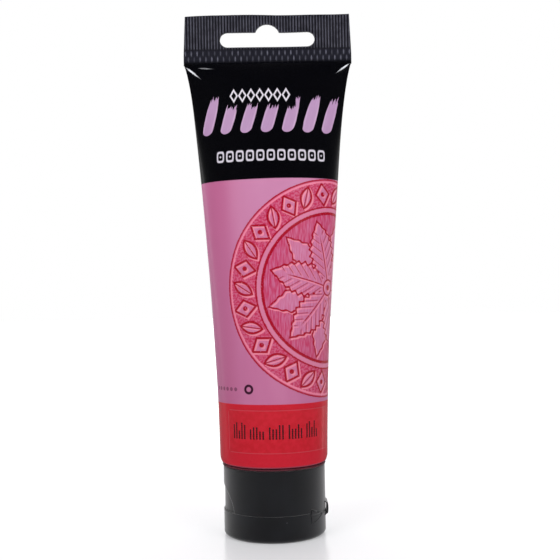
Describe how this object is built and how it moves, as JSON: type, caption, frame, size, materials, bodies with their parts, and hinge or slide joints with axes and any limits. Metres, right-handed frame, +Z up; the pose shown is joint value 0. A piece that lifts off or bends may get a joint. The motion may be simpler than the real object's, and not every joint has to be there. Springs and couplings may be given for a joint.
{
  "type": "paint tube",
  "caption": "Stand-up plastic squeeze tube of paint with a flat crimped hanging end and a screw-on flip-top cap that it stands on.",
  "frame": {"origin": "centre of the cap's foot, on the tube's axis, at the surface the tube stands on", "axes": "+Z up along the tube towards its crimped end, +X along the crimp towards the cap's hinge, -Y is the front"},
  "size_m": [0.0602, 0.0383, 0.1845],
  "materials": {
    "printed_film": "glossy printed polyethylene: black at the top, mauve in the middle, red at the foot",
    "crimped_film": "black print over a finely ribbed heat-sealed crimp",
    "head_plastic": "translucent natural polyethylene, slightly rosy",
    "paint": "wet, thick red acrylic paint",
    "foil": "satin lacquered aluminium foil",
    "label_film": "clear glossy adhesive film over the red print",
    "foam": "soft white foamed polyethylene",
    "cap_plastic": "satin black moulded polypropylene"
  },
  "bodies": {
    "tube": {"sleeve": "printed_film", "crimped_end": "crimped_film", "tube_head": "head_plastic", "paint_fill": "paint", "foil_seal": "foil", "stick_label": "label_film"},
    "carrier": {"seal_washer": "foam"},
    "closure": {"cap_body": "cap_plastic", "hinge_strap": "cap_plastic", "hinge_wing_front": "cap_plastic", "hinge_wing_rear": "cap_plastic"},
    "lid": {"cap_lid": "cap_plastic"}
  },
  "joints": [
    {"name": "cap_travel", "type": "slide", "parent": "tube", "child": "carrier", "axis": [0, 0, -1], "range_m": [0, 0.00451]},
    {"name": "cap_turn", "type": "hinge", "parent": "carrier", "child": "closure", "pos_m": [0, 0, 0.0165], "axis": [0, 0, -1], "range_deg": [0, 540]},
    {"name": "lid_flip", "type": "hinge", "parent": "closure", "child": "lid", "pos_m": [0.018, 0, 0.0081], "axis": [0, -1, 0], "range_deg": [0, 165], "deforming": ["hinge_strap", "hinge_wing_front", "hinge_wing_rear"]}
  ],
  "couplings": [
    {"joint": "cap_travel", "follows": "cap_turn", "m_per_rad": 0.00047746}
  ]
}
